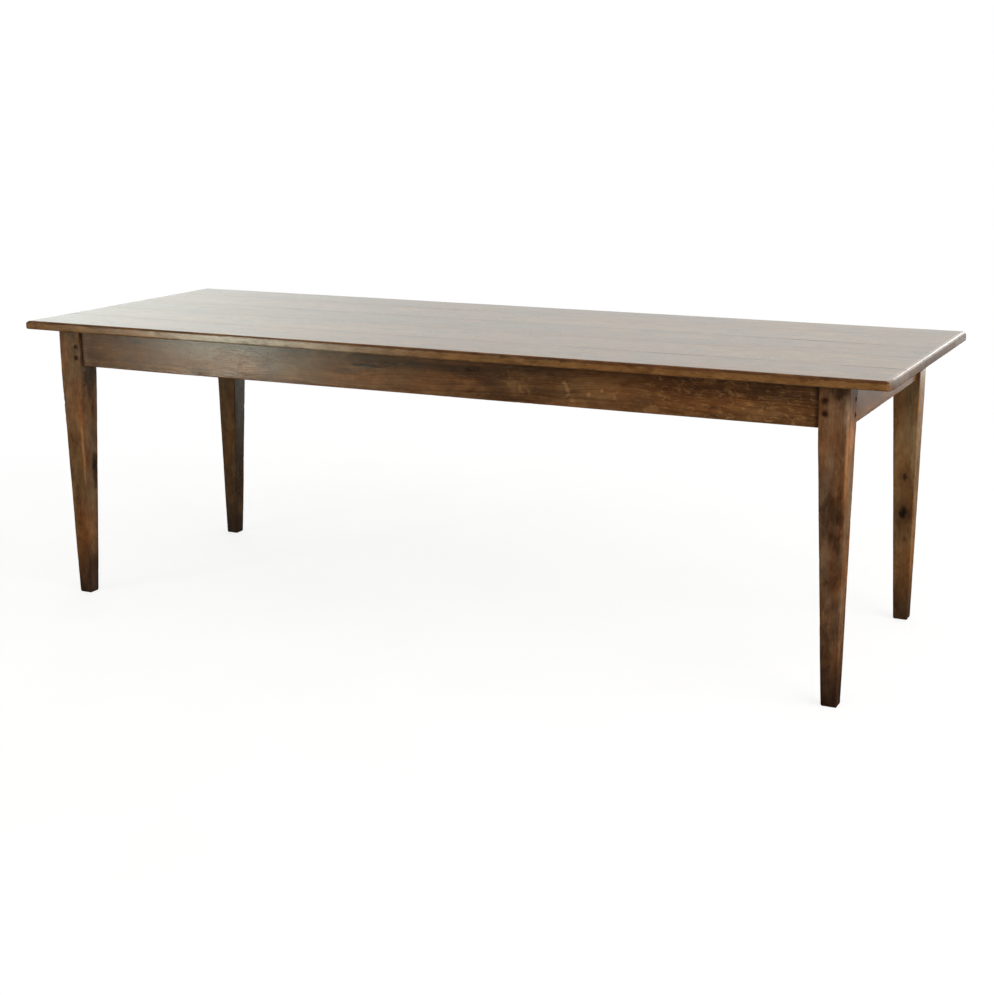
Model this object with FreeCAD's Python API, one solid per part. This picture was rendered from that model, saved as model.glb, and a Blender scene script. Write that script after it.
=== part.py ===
import FreeCAD, Part
import math
import os

# Refectory table: a long plank top on four pegged, tapered legs.
# Millimetres. Origin on the floor, under the middle of the top.
# +X runs along the table, -Y is the front, +Z is up.

V = FreeCAD.Vector

# ---------------------------------------------------------------- driving dimensions
HEIGHT = 780.0            # floor to the top surface
TOP_L = 2400.0            # length of the top
TOP_W = 850.0             # width of the top
TOP_T = 24.0              # thickness of the boards
BOARD_W = (177.0, 167.0, 182.0, 172.0, 152.0)   # board widths, front to back
TOP_CORNER_R = 8.0        # plan corners
TOP_ARRIS_R = 7.0         # worn, rounded-over upper edge
TOP_UNDER_R = 3.0         # eased lower edge

END_OVERHANG = 95.0       # end of the top to the leg's outer face
SIDE_OVERHANG = 24.0      # side of the top to the leg's outer face
LEG = 70.0                # square of the leg's head
LEG_ARRIS = 2.2           # planed-off arris
TAPER_DROP = 22.0         # straight stretch of leg below the aprons
TAPER_X_OUT, TAPER_X_IN = 3.0, 28.0    # narrowing at the foot, across the length
TAPER_Y_OUT, TAPER_Y_IN = 17.0, 17.0   # narrowing at the foot, across the depth
FOOT_CHAMFER = 2.5

APRON_H = 98.0
APRON_T = 26.0
SET_BACK = 9.0            # apron face behind the leg face
APRON_EASE = 1.5          # eased lower edges

TENON_T = 10.0
TENON_L = 36.0
TENON_FOOT = 8.0          # shoulder below the tenon
HAUNCH_H = 18.0           # haunch at the head of the tenon
HAUNCH_L = 10.0
MORTISE_EXTRA = 1.0       # glue room at the end of the tenon

PEG_R = 5.0
PEG_FIT = 0.05            # radial room around a peg
PEG_PROUD = 1.0
PEG_LONG = 46.0           # below the leg's face
FRONT_PEG_IN = 14.5       # from the leg's inner edge, pegs through the long aprons
LONG_PEG_DROP = {"front_right": (33.0, 63.0), "front_left": (43.0, 74.0), "rear_right": (37.0, 68.0), "rear_left": (36.0, 69.0)}   # bored by eye
END_PEG_IN = 14.0         # pegs through the end aprons
END_PEG_DROP = (34.0, 71.0)

TONGUE_T = 6.0
TONGUE_W = 20.0
TONGUE_STOP = 80.0        # the grooves stop short of the ends of the top
GROOVE_EXTRA = 0.5

BEARER_X = (-519.0, 0.0, 519.0)
BEARER_W = 60.0
BEARER_H = 40.0
BEARER_TENON_W, BEARER_TENON_H, BEARER_TENON_L = 44.0, 18.0, 12.0
BEARER_EASE = 3.0

BUTTON_W = 32.0
BUTTON_L = 36.0
BUTTON_T = 20.0
BUTTON_TONGUE_L, BUTTON_TONGUE_T = 9.0, 9.0
BUTTON_GAP = 1.0          # room between the button's body and the apron
BUTTON_X_LONG = (-860.0, -260.0, 260.0, 860.0)
BUTTON_Y_END = (-160.0, 185.0)

SCREW_R = 2.25
SCREW_HEAD_R = 4.4
SCREW_HEAD_H = 2.6
BUTTON_SCREW_L = 32.0
BEARER_SCREW_L = 50.0

# ---------------------------------------------------------------- derived places
UNDER = HEIGHT - TOP_T                     # underside of the top
APRON_Z = UNDER - APRON_H
KNEE_Z = APRON_Z - TAPER_DROP
LEG_XO = TOP_L / 2 - END_OVERHANG          # leg's outer face, along the length
LEG_XI = LEG_XO - LEG
LEG_YO = TOP_W / 2 - SIDE_OVERHANG         # leg's outer face, across the depth
LEG_YI = LEG_YO - LEG
LONG_FACE = LEG_YO - SET_BACK              # outer face of a long apron
LONG_BACK = LONG_FACE - APRON_T
END_FACE = LEG_XO - SET_BACK               # outer face of an end apron
END_BACK = END_FACE - APRON_T

os.makedirs("parts", exist_ok=True)


def box(x0, x1, y0, y1, z0, z1):
    xs, ys, zs = sorted((x0, x1)), sorted((y0, y1)), sorted((z0, z1))
    return Part.makeBox(xs[1] - xs[0], ys[1] - ys[0], zs[1] - zs[0], V(xs[0], ys[0], zs[0]))


def mirror_x(shape):
    return shape.mirror(V(0, 0, 0), V(1, 0, 0))


def mirror_y(shape):
    return shape.mirror(V(0, 0, 0), V(0, 1, 0))


def fuse(first, *others):
    return first.multiFuse(list(others)).removeSplitter()


def cut(shape, tools):
    return shape.cut(Part.Compound(list(tools))) if tools else shape


def edges_where(shape, test):
    return [e for e in shape.Edges if test(e)]


def along(edge, direction):
    a, b = edge.Vertexes[0].Point, edge.Vertexes[-1].Point
    d = b.sub(a)
    return d.Length > 1e-6 and abs(abs(d.normalize().dot(direction)) - 1) < 1e-6


def write(shape, node, solids=1):
    found = shape.Solids
    assert len(found) == solids, (node, len(found))
    assert all(s.isValid() and s.Volume > 0 for s in found), node
    kept = found[0] if solids == 1 else Part.Compound(found)
    kept.exportStep("parts/%s.step" % node)
    print("%-24s %2d solid  %10.1f cm3" % (node, len(found), kept.Volume / 1000.0))


# ---------------------------------------------------------------- wood screws
def screw(length, x, y, z):
    """A slotted countersunk wood screw pointing up, its head flush at height z."""
    outline = [
        V(0, 0, 0), V(SCREW_HEAD_R, 0, 0), V(SCREW_HEAD_R, 0, 0.3),
        V(SCREW_R, 0, SCREW_HEAD_H), V(SCREW_R, 0, length - 7.0), V(0.3, 0, length), V(0, 0, length),
    ]
    wire = Part.makePolygon(outline + [outline[0]])
    body = Part.Face(wire).revolve(V(0, 0, 0), V(0, 0, 1), 360)
    solid = Part.Solid(body) if body.ShapeType == "Shell" else body.Solids[0]
    plain = solid.translated(V(x, y, z))
    slot = box(-6, 6, -0.6, 0.6, -1, 1.3)
    slot.rotate(V(0, 0, 0), V(0, 0, 1), (37 * (x + 2 * y)) % 180)
    return plain, plain.cut(slot.translated(V(x, y, z)))


button_screws, button_screw_seats = [], []
bearer_screws, bearer_screw_seats = [], []

joint_y = [-TOP_W / 2]
for width in BOARD_W:
    joint_y.append(joint_y[-1] + width)
assert abs(joint_y[-1] - TOP_W / 2) < 1e-6

for bx in BEARER_X:
    for k in range(len(BOARD_W)):
        mid = (joint_y[k] + joint_y[k + 1]) / 2
        # the outer two screws stay clear of the aprons
        mid = max(-LONG_BACK + 40, min(LONG_BACK - 40, mid))
        plain, slotted = screw(BEARER_SCREW_L, bx, mid, UNDER - BEARER_H)
        bearer_screw_seats.append(plain)
        bearer_screws.append(slotted)


# ---------------------------------------------------------------- top-fixing buttons
def button(place, turn):
    """A rebated block: its tongue hooks towards -Y, and its top face meets the underside of the top."""
    body = box(-BUTTON_W / 2, BUTTON_W / 2, BUTTON_GAP, BUTTON_GAP + BUTTON_L, -BUTTON_T, 0)
    rear = edges_where(body, lambda e: abs(e.CenterOfMass.y - BUTTON_GAP - BUTTON_L) < 1e-6 and abs(e.CenterOfMass.z + BUTTON_T) < 1e-6)
    body = body.makeChamfer(4.0, rear)
    tongue = box(-BUTTON_W / 2, BUTTON_W / 2, -BUTTON_TONGUE_L, BUTTON_GAP + 2, -BUTTON_T, -BUTTON_T + BUTTON_TONGUE_T)
    block = fuse(body, tongue)
    block.rotate(V(0, 0, 0), V(0, 0, 1), turn)
    slot = box(-BUTTON_W / 2 - 3, BUTTON_W / 2 + 3, -BUTTON_TONGUE_L - 2, 0, -BUTTON_T - 2, -BUTTON_T + BUTTON_TONGUE_T)
    slot.rotate(V(0, 0, 0), V(0, 0, 1), turn)
    hole = V(0, BUTTON_GAP + BUTTON_L * 0.56, 0)
    hole = FreeCAD.Rotation(V(0, 0, 1), turn).multVec(hole)
    spot = place.add(hole)
    plain, slotted = screw(BUTTON_SCREW_L, spot.x, spot.y, UNDER - BUTTON_T)
    button_screw_seats.append(plain)
    button_screws.append(slotted)
    return block.translated(place).cut(plain), slot.translated(place)


buttons, button_slots = {}, {}
for side, turn, spots in (
    ("front", 0, [V(x, -LONG_BACK, UNDER) for x in BUTTON_X_LONG]),
    ("rear", 180, [V(x, LONG_BACK, UNDER) for x in BUTTON_X_LONG]),
    ("left", -90, [V(-END_BACK, y, UNDER) for y in BUTTON_Y_END]),
    ("right", 90, [V(END_BACK, y, UNDER) for y in BUTTON_Y_END]),
):
    made = [button(spot, turn) for spot in spots]
    buttons[side] = [m[0] for m in made]
    button_slots[side] = [m[1] for m in made]

# ---------------------------------------------------------------- table top
slab = box(-TOP_L / 2, TOP_L / 2, -TOP_W / 2, TOP_W / 2, UNDER, HEIGHT)
slab = slab.makeFillet(TOP_CORNER_R, edges_where(slab, lambda e: along(e, V(0, 0, 1))))
slab = slab.makeFillet(TOP_ARRIS_R, edges_where(slab, lambda e: all(abs(v.Point.z - HEIGHT) < 1e-6 for v in e.Vertexes)))
slab = slab.makeFillet(TOP_UNDER_R, edges_where(slab, lambda e: all(abs(v.Point.z - UNDER) < 1e-6 for v in e.Vertexes)))

mid_z = UNDER + TOP_T / 2
half_l = TOP_L / 2 - TONGUE_STOP
seats = button_screw_seats + bearer_screw_seats
for k in range(len(BOARD_W)):
    board = slab.common(box(-TOP_L, TOP_L, joint_y[k], joint_y[k + 1], 0, HEIGHT + 50))
    tools = []
    for j in (k, k + 1):
        if 0 < j < len(BOARD_W):
            reach = TONGUE_W / 2 + GROOVE_EXTRA
            tools.append(box(-half_l - GROOVE_EXTRA, half_l + GROOVE_EXTRA, joint_y[j] - reach, joint_y[j] + reach,
                             mid_z - TONGUE_T / 2, mid_z + TONGUE_T / 2))
    tools += [s for s in seats if joint_y[k] < s.BoundBox.Center.y < joint_y[k + 1]]
    write(cut(board, tools), "top_board_%d" % (k + 1))

for j in range(1, len(BOARD_W)):
    tongue = box(-half_l, half_l, joint_y[j] - TONGUE_W / 2, joint_y[j] + TONGUE_W / 2,
                 mid_z - TONGUE_T / 2, mid_z + TONGUE_T / 2)
    write(tongue, "top_tongue_%d" % j)


# ---------------------------------------------------------------- aprons with haunched tenons
def tenon(extra):
    """The right-hand tenon of a rail that runs along X, measured from its shoulder at x = 0, rail middle at y = 0."""
    main = box(-1, TENON_L + extra, -TENON_T / 2, TENON_T / 2, APRON_Z + TENON_FOOT, UNDER - HAUNCH_H)
    haunch = box(-1, HAUNCH_L + extra, -TENON_T / 2, TENON_T / 2, UNDER - HAUNCH_H, UNDER)
    return fuse(main, haunch)


def rail(half_length):
    """A rail along X about the origin in plan, with a tenon at each end."""
    body = box(-half_length, half_length, -APRON_T / 2, APRON_T / 2, APRON_Z, UNDER)
    low = edges_where(body, lambda e: along(e, V(1, 0, 0)) and abs(e.CenterOfMass.z - APRON_Z) < 1e-6)
    body = body.makeChamfer(APRON_EASE, low)
    right = tenon(0).translated(V(half_length, 0, 0))
    return fuse(body, right, mirror_x(right))


long_mid = (LONG_FACE + LONG_BACK) / 2
end_mid = (END_FACE + END_BACK) / 2

front_rail = rail(LEG_XI).translated(V(0, -long_mid, 0))
rear_rail = rail(LEG_XI).translated(V(0, long_mid, 0))
end_rail = rail(LEG_YI)
end_rail.rotate(V(0, 0, 0), V(0, 0, 1), 90)
left_rail = end_rail.translated(V(-end_mid, 0, 0))
right_rail = end_rail.translated(V(end_mid, 0, 0))


# ---------------------------------------------------------------- pegs
def peg(r, grow):
    """Along +Y from the leg's face at y = 0, with an eased head that stands proud and a tapered point."""
    if grow:
        return Part.makeCylinder(r + PEG_FIT, PEG_LONG + 0.5 + 5, V(0, -5, 0), V(0, 1, 0))
    ease = 0.7
    head = Part.makeCone(r - ease, r, ease, V(0, -PEG_PROUD, 0), V(0, 1, 0))
    shank = Part.makeCylinder(r, PEG_LONG - 10 + PEG_PROUD - ease, V(0, ease - PEG_PROUD, 0), V(0, 1, 0))
    point = Part.makeCone(r, r * 0.7, 10, V(0, PEG_LONG - 10, 0), V(0, 1, 0))
    return fuse(head, shank, point)


def peg_pair_long(grow, drops):
    """Front right leg, through the long apron's tenon."""
    return [peg(PEG_R, grow).translated(V(LEG_XI + FRONT_PEG_IN, -LEG_YO, UNDER - d)) for d in drops]


def peg_pair_end(grow):
    """Front right leg, through the end apron's tenon."""
    made = []
    for d in END_PEG_DROP:
        one = peg(PEG_R, grow)
        one.rotate(V(0, 0, 0), V(0, 0, 1), 90)      # now runs along -X
        made.append(one.translated(V(LEG_XO, -LEG_YI - END_PEG_IN, UNDER - d)))
    return made


# ---------------------------------------------------------------- legs
def leg_section(z, x_out, x_in, y_out, y_in, arris):
    """An arris-planed rectangle for the front right leg, narrowed by the four amounts."""
    x0, x1 = LEG_XI + x_in, LEG_XO - x_out
    y0, y1 = -LEG_YO + y_out, -LEG_YI - y_in
    a = arris
    pts = [V(x0 + a, y0, z), V(x1 - a, y0, z), V(x1, y0 + a, z), V(x1, y1 - a, z),
           V(x1 - a, y1, z), V(x0 + a, y1, z), V(x0, y1 - a, z), V(x0, y0 + a, z)]
    return Part.makePolygon(pts + [pts[0]])


def taper_at(z):
    t = max(0.0, (KNEE_Z - z) / KNEE_Z)
    return TAPER_X_OUT * t, TAPER_X_IN * t, TAPER_Y_OUT * t, TAPER_Y_IN * t


foot = taper_at(0.0)
above = taper_at(FOOT_CHAMFER)
leg_shape = Part.makeLoft([
    leg_section(0.0, *[f + FOOT_CHAMFER for f in foot], LEG_ARRIS),
    leg_section(FOOT_CHAMFER, *above, LEG_ARRIS),
    leg_section(KNEE_Z, 0, 0, 0, 0, LEG_ARRIS),
    leg_section(UNDER, 0, 0, 0, 0, LEG_ARRIS),
], True, True)

front_mortise = tenon(MORTISE_EXTRA).translated(V(LEG_XI, -long_mid, 0))
end_mortise = tenon(MORTISE_EXTRA)
end_mortise.rotate(V(0, 0, 0), V(0, 0, 1), -90)
end_mortise = end_mortise.translated(V(end_mid, -LEG_YI, 0))
leg_blank = cut(leg_shape, [front_mortise, end_mortise])

CORNERS = {
    "front_right": lambda shape: shape,
    "front_left": mirror_x,
    "rear_right": mirror_y,
    "rear_left": lambda shape: mirror_x(mirror_y(shape)),
}
long_holes, end_holes = {}, {}
for corner, turned in CORNERS.items():
    long_hole, end_hole = peg_pair_long(True, LONG_PEG_DROP[corner]), peg_pair_end(True)
    write(turned(cut(leg_blank, long_hole + end_hole)), "leg_%s" % corner)
    write(turned(Part.Compound(peg_pair_long(False, LONG_PEG_DROP[corner]))), "pegs_%s_long" % corner, 2)
    write(turned(Part.Compound(peg_pair_end(False))), "pegs_%s_end" % corner, 2)
    long_holes[corner] = [turned(h) for h in long_hole]
    end_holes[corner] = [turned(h) for h in end_hole]

# ---------------------------------------------------------------- cross bearers
bearers, front_housings, rear_housings = [], [], []
for bx in BEARER_X:
    body = box(bx - BEARER_W / 2, bx + BEARER_W / 2, -LONG_BACK, LONG_BACK, UNDER - BEARER_H, UNDER)
    low = edges_where(body, lambda e: along(e, V(0, 1, 0)) and abs(e.CenterOfMass.z - UNDER + BEARER_H) < 1e-6)
    body = body.makeChamfer(BEARER_EASE, low)
    z0 = UNDER - BEARER_H / 2 - BEARER_TENON_H / 2
    stub = box(bx - BEARER_TENON_W / 2, bx + BEARER_TENON_W / 2, LONG_BACK - 1, LONG_BACK + BEARER_TENON_L, z0, z0 + BEARER_TENON_H)
    housing = box(bx - BEARER_TENON_W / 2, bx + BEARER_TENON_W / 2, LONG_BACK - 1, LONG_BACK + BEARER_TENON_L + 1, z0, z0 + BEARER_TENON_H)
    body = fuse(body, stub, mirror_y(stub))
    bearers.append(cut(body, [s for s in bearer_screw_seats if abs(s.BoundBox.Center.x - bx) < 1]))
    rear_housings.append(housing)
    front_housings.append(mirror_y(housing))

for name, shape in zip(("left", "middle", "right"), bearers):
    write(shape, "cross_bearer_%s" % name)

# ---------------------------------------------------------------- finished aprons
write(cut(front_rail, long_holes["front_left"] + long_holes["front_right"] + front_housings + button_slots["front"]), "front_apron")
write(cut(rear_rail, long_holes["rear_left"] + long_holes["rear_right"] + rear_housings + button_slots["rear"]), "rear_apron")
write(cut(right_rail, end_holes["front_right"] + end_holes["rear_right"] + button_slots["right"]), "right_apron")
write(cut(left_rail, end_holes["front_left"] + end_holes["rear_left"] + button_slots["left"]), "left_apron")

# ---------------------------------------------------------------- buttons and screws
for side in ("front", "rear", "left", "right"):
    write(Part.Compound(buttons[side]), "top_buttons_%s" % side, len(buttons[side]))
write(Part.Compound(button_screws), "button_screws", len(button_screws))
write(Part.Compound(bearer_screws), "bearer_screws", len(bearer_screws))
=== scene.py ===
import math

import bpy
import numpy as np
from mathutils import Matrix, Vector


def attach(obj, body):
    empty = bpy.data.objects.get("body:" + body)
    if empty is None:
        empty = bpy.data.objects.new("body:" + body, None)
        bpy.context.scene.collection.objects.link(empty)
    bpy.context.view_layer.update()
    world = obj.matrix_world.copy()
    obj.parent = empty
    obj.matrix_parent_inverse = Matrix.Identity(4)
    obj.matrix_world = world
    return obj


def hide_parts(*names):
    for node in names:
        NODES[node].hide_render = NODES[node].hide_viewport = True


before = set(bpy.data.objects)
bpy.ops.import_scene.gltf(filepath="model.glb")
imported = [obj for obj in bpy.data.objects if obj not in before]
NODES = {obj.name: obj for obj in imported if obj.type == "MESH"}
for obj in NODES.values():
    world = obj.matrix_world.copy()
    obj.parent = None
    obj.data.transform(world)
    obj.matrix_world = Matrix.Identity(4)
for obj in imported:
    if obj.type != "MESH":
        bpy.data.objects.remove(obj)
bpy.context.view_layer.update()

# ------------------------------------------------------------------ sizes, millimetres
TOP_Z, UNDER_Z = 780.0, 756.0
HALF_L, HALF_W = 1200.0, 425.0
JOINTS = (-425.0, -248.0, -81.0, 101.0, 273.0, 425.0)
APRON_Z = 658.0
KNEE_Z = 636.0
LEG = 70.0
LEG_IN_X, LEG_OUT_X = 1035.0, 1105.0
LEG_IN_Y, LEG_OUT_Y = 331.0, 401.0
TAPER_X_OUT, TAPER_X_IN = 3.0, 28.0
TAPER_Y_OUT, TAPER_Y_IN = 17.0, 17.0
LONG_FACE, LONG_BACK = 392.0, 366.0
END_FACE, END_BACK = 1096.0, 1070.0
LONG_PEG_X, END_PEG_Y = 1049.5, 345.0
LONG_PEG_Z = {"front_right": (723.0, 693.0), "front_left": (713.0, 682.0), "rear_right": (719.0, 688.0), "rear_left": (720.0, 687.0)}
END_PEG_Z = (722.0, 685.0)


# ------------------------------------------------------------------ smooth random fields
def table_of(shape, seed):
    return np.random.default_rng(seed).uniform(-1.0, 1.0, shape)


def ease(f):
    return f * f * (3.0 - 2.0 * f)


def step(lo, hi, v):
    t = np.clip((v - lo) / (hi - lo), 0.0, 1.0)
    return ease(t)


def noise1(x, seed):
    t = table_of(1024, seed)
    i = np.floor(x).astype(int)
    f = ease(x - i)
    return t[i % 1024] * (1 - f) + t[(i + 1) % 1024] * f


def noise2(x, y, seed):
    n = 128
    t = table_of((n, n), seed)
    i, j = np.floor(x).astype(int), np.floor(y).astype(int)
    f, g = ease(x - i), ease(y - j)
    i0, i1, j0, j1 = i % n, (i + 1) % n, j % n, (j + 1) % n
    return (t[i0, j0] * (1 - f) + t[i1, j0] * f) * (1 - g) + (t[i0, j1] * (1 - f) + t[i1, j1] * f) * g


# ------------------------------------------------------------------ mesh building
def stops(lo, hi, spacing, lo_zone, hi_zone):
    """Coordinates from lo to hi: close together near both ends, then evenly spaced."""
    a, b = lo + max(lo_zone), hi - max(hi_zone)
    n = max(1, int(round((b - a) / spacing)))
    return np.array(sorted(set([lo + d for d in lo_zone] + list(np.linspace(a, b, n + 1)) + [hi - d for d in hi_zone])))


def grid_box(xs, ys, zs):
    """The skin of a block as quads on the lines of a grid."""
    ids = -np.ones((len(xs), len(ys), len(zs)), int)
    on = np.zeros(ids.shape, bool)
    on[0] = on[-1] = True
    on[:, 0] = on[:, -1] = True
    on[:, :, 0] = on[:, :, -1] = True
    ids[on] = np.arange(on.sum())
    i, j, k = np.nonzero(on)
    verts = np.stack([xs[i], ys[j], zs[k]], 1)
    faces = []

    def side(sheet, turn):
        q = np.stack([sheet[:-1, :-1], sheet[1:, :-1], sheet[1:, 1:], sheet[:-1, 1:]], -1).reshape(-1, 4)
        faces.append(q[:, ::-1] if turn else q)

    side(ids[0], True)
    side(ids[-1], False)
    side(ids[:, 0], False)
    side(ids[:, -1], True)
    side(ids[:, :, 0], True)
    side(ids[:, :, -1], False)
    return verts, np.concatenate(faces)


def round_edge(v, a, face_a, sa, b, face_b, sb, radius):
    """Rounds the edge between the face on axis a and the face on axis b."""
    da = sa * (v[:, a] - face_a) + radius
    db = sb * (v[:, b] - face_b) + radius
    m = (da > 1e-9) & (db > 1e-9)
    k = np.ones(len(v))
    k[m] = np.maximum(da[m], db[m]) / np.hypot(da[m], db[m])
    v[:, a] += np.where(m, sa * da * (k - 1), 0)
    v[:, b] += np.where(m, sb * db * (k - 1), 0)


def edge_gap(v, planes):
    """Distance from each point of a block's skin to the nearest of the block's own edges."""
    d = np.sort(np.stack([np.abs(v[:, a] - c) for a, c in planes], 1), 1)
    return d[:, 1]


def make(name, verts, faces, slot, material, nodes, **fields):
    me = bpy.data.meshes.new(name)
    me.from_pydata((verts * 0.001).tolist(), [], [f for f in faces] if isinstance(faces, list) else faces.tolist())
    me.polygons.foreach_set("use_smooth", np.ones(len(me.polygons), bool))
    for key, values in fields.items():
        at = me.attributes.new(key, "FLOAT", "POINT")
        at.data.foreach_set("value", np.asarray(values, np.float32))
    me.validate()
    me.update()
    me.materials.append(material)
    ob = bpy.data.objects.new(name, me)
    bpy.context.scene.collection.objects.link(ob)
    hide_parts(*nodes)
    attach(ob, "root")
    return ob


def dents(v, spots, push):
    """Small bruises: each spot is (x, y, z, radius, depth); push says which way the wood gives."""
    push = np.array(push, float)
    push /= np.linalg.norm(push)
    for x, y, z, r, depth in spots:
        d2 = ((v - np.array((x, y, z))) ** 2).sum(1) / (r * r)
        v += np.exp(-d2 * 2.2)[:, None] * depth * push


# ------------------------------------------------------------------ shader building
class Shade:
    def __init__(self, name):
        self.m = bpy.data.materials.new(name)
        self.m.use_nodes = True
        self.t = self.m.node_tree
        self.t.nodes.clear()
        self.out = self.add("ShaderNodeOutputMaterial")

    def add(self, kind, **kw):
        n = self.t.nodes.new(kind)
        for k, v in kw.items():
            setattr(n, k, v)
        return n

    def put(self, sock, v):
        if isinstance(v, bpy.types.NodeSocket):
            self.t.links.new(v, sock)
        else:
            sock.default_value = v

    def math(self, op, a, b=0.0, c=0.0, clamp=False):
        n = self.add("ShaderNodeMath", operation=op, use_clamp=clamp)
        self.put(n.inputs[0], a)
        self.put(n.inputs[1], b)
        self.put(n.inputs[2], c)
        return n.outputs[0]

    def plus(self, *vs):
        s = vs[0]
        for v in vs[1:]:
            s = self.math("ADD", s, v)
        return s

    def times(self, *vs):
        s = vs[0]
        for v in vs[1:]:
            s = self.math("MULTIPLY", s, v)
        return s

    def minus(self, a, b):
        return self.math("SUBTRACT", a, b)

    def vec(self, op, a, b=(0.0, 0.0, 0.0)):
        n = self.add("ShaderNodeVectorMath", operation=op)
        self.put(n.inputs[0], a)
        self.put(n.inputs[1], b)
        return n.outputs["Value"] if op in ("LENGTH", "DISTANCE", "DOT_PRODUCT") else n.outputs["Vector"]

    def xyz(self, v):
        n = self.add("ShaderNodeSeparateXYZ")
        self.put(n.inputs[0], v)
        return n.outputs[0], n.outputs[1], n.outputs[2]

    def join(self, x, y, z):
        n = self.add("ShaderNodeCombineXYZ")
        for s, v in zip(n.inputs, (x, y, z)):
            self.put(s, v)
        return n.outputs[0]

    def noise(self, v, scale, detail=2.0, rough=0.5, bend=0.0, colour=False):
        n = self.add("ShaderNodeTexNoise")
        self.put(n.inputs["Vector"], self.vec("MULTIPLY", v, scale))
        self.put(n.inputs["Scale"], 1.0)
        self.put(n.inputs["Detail"], detail)
        self.put(n.inputs["Roughness"], rough)
        self.put(n.inputs["Distortion"], bend)
        return n.outputs["Color"] if colour else n.outputs[0]

    def smooth(self, v, lo, hi, a=0.0, b=1.0):
        n = self.add("ShaderNodeMapRange", interpolation_type="SMOOTHSTEP")
        for k, val in zip(("Value", "From Min", "From Max", "To Min", "To Max"), (v, lo, hi, a, b)):
            self.put(n.inputs[k], val)
        return n.outputs[0]

    def ramp(self, v, colours):
        n = self.add("ShaderNodeValToRGB")
        e = n.color_ramp.elements
        while len(e) < len(colours):
            e.new(0.5)
        for k, (pos, col) in enumerate(colours):
            e[k].position = pos
            e[k].color = (col[0], col[1], col[2], 1.0)
        self.put(n.inputs[0], v)
        return n.outputs[0]

    def mix(self, fac, a, b, mode="MIX"):
        n = self.add("ShaderNodeMix", data_type="RGBA", blend_type=mode)
        self.put(n.inputs["Factor"], fac)
        for key, v in ((6, a), (7, b)):
            self.put(n.inputs[key], v if isinstance(v, bpy.types.NodeSocket) else (v[0], v[1], v[2], 1.0))
        return n.outputs[2]

    def attribute(self, name):
        return self.add("ShaderNodeAttribute", attribute_type="GEOMETRY", attribute_name=name).outputs["Fac"]

    def finish(self, colour, rough, height, distance, coat=0.0, coat_rough=0.2, specular=0.5):
        b = self.add("ShaderNodeBsdfPrincipled")
        self.put(b.inputs["Base Color"], colour)
        self.put(b.inputs["Roughness"], rough)
        b.inputs["Specular IOR Level"].default_value = specular
        b.inputs["Coat Weight"].default_value = coat
        b.inputs["Coat Roughness"].default_value = coat_rough
        n = self.add("ShaderNodeBump")
        n.inputs["Strength"].default_value = 1.0
        n.inputs["Distance"].default_value = distance
        self.put(n.inputs["Height"], height)
        self.put(b.inputs["Normal"], n.outputs[0])
        self.t.links.new(b.outputs[0], self.out.inputs[0])
        return self.m


OAK = (
    (0.10, (0.030, 0.013, 0.005)),
    (0.34, (0.082, 0.036, 0.013)),
    (0.50, (0.150, 0.072, 0.027)),
    (0.66, (0.228, 0.118, 0.047)),
    (0.90, (0.360, 0.210, 0.095)),
)
DARK = (0.020, 0.009, 0.005)


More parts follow.
